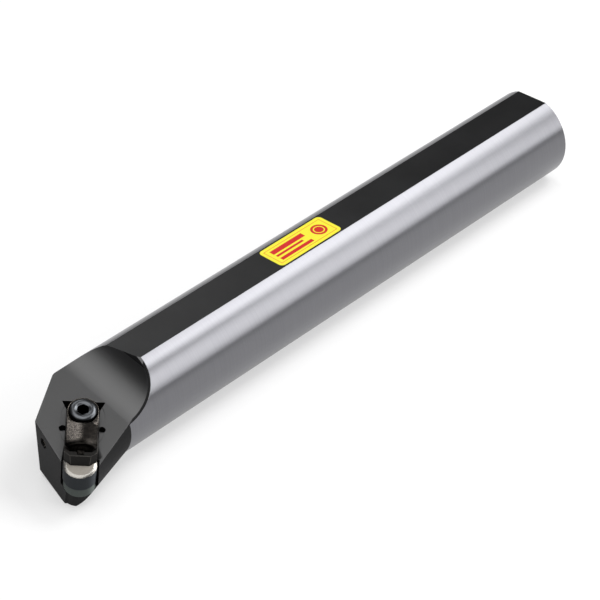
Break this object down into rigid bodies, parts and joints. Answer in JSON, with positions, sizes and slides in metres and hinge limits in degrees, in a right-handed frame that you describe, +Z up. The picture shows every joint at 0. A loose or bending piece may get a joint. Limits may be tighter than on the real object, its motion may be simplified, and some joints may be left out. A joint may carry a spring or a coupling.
{
  "type": "boring bar",
  "caption": "Round steel boring bar with flats along its shank and an angled head, where a screwed top clamp and a wear plate hold a round insert on its shim.",
  "frame": {"origin": "centre of the rear end face, on the shank's axis", "axes": "+X along the shank's axis towards its rear end, so the head is at -X; +Z up, out of the marked flat; the cutting side is -Y"},
  "size_m": [0.3, 0.0468, 0.0371],
  "materials": {
    "bar": "bright ground shank, blackened head and flats",
    "insert": "ground hard metal, satin",
    "shim": "ground hard metal, satin",
    "shim_screw": "blackened",
    "wear_plate": "ground hard metal, dull",
    "clamp": "cast skin, grey brown",
    "clamp_screw": "blackened, satin",
    "clamp_spring": "drawn wire",
    "plug_screw": "bright",
    "label": "printed film, yellow with red"
  },
  "bodies": {
    "bar_body": {"bar": "bar", "insert": "insert", "shim": "shim", "shim_screw": "shim_screw", "plug_screw": "plug_screw", "label": "label", "clamp_spring": "clamp_spring"},
    "clamp_body": {"clamp": "clamp", "wear_plate": "wear_plate"},
    "clamp_screw_body": {"clamp_screw": "clamp_screw"}
  },
  "joints": [
    {"name": "clamp_lift", "type": "slide", "parent": "bar_body", "child": "clamp_body", "axis": [-0.1015, -0.2407, 0.9653], "range_m": [0, 0.0025], "deforming": ["clamp_spring"]},
    {"name": "screw_turn", "type": "hinge", "parent": "clamp_body", "child": "clamp_screw_body", "pos_m": [-0.27807, -0.00576, 0.00625], "axis": [-0.1015, -0.2407, 0.9653], "range_deg": [0, 900]}
  ],
  "couplings": [
    {"joint": "screw_turn", "follows": "clamp_lift", "rad_per_m": 6283.2}
  ]
}
